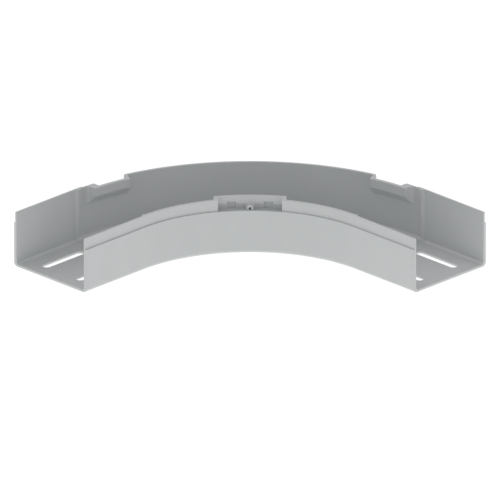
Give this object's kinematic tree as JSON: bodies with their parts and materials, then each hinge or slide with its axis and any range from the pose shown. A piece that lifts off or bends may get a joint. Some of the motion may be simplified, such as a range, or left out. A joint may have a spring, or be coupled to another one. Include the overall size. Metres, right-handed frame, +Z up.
{
  "type": "cable tray bend",
  "caption": "Flat right-angle bend of a cable tray: an open channel with a straight socket at each end, slots in its base and pockets for the clips of a cover.",
  "frame": {"origin": "centre of the bounding box in plan, at the level of the underside", "axes": "+Z up, out of the open side of the channel; one socket opens towards -X and the other towards -Y"},
  "size_m": [0.352, 0.352, 0.0616],
  "materials": {
    "body": "satin light grey, moulded"
  },
  "bodies": {
    "root": {"bend_body": "body"}
  },
  "joints": []
}
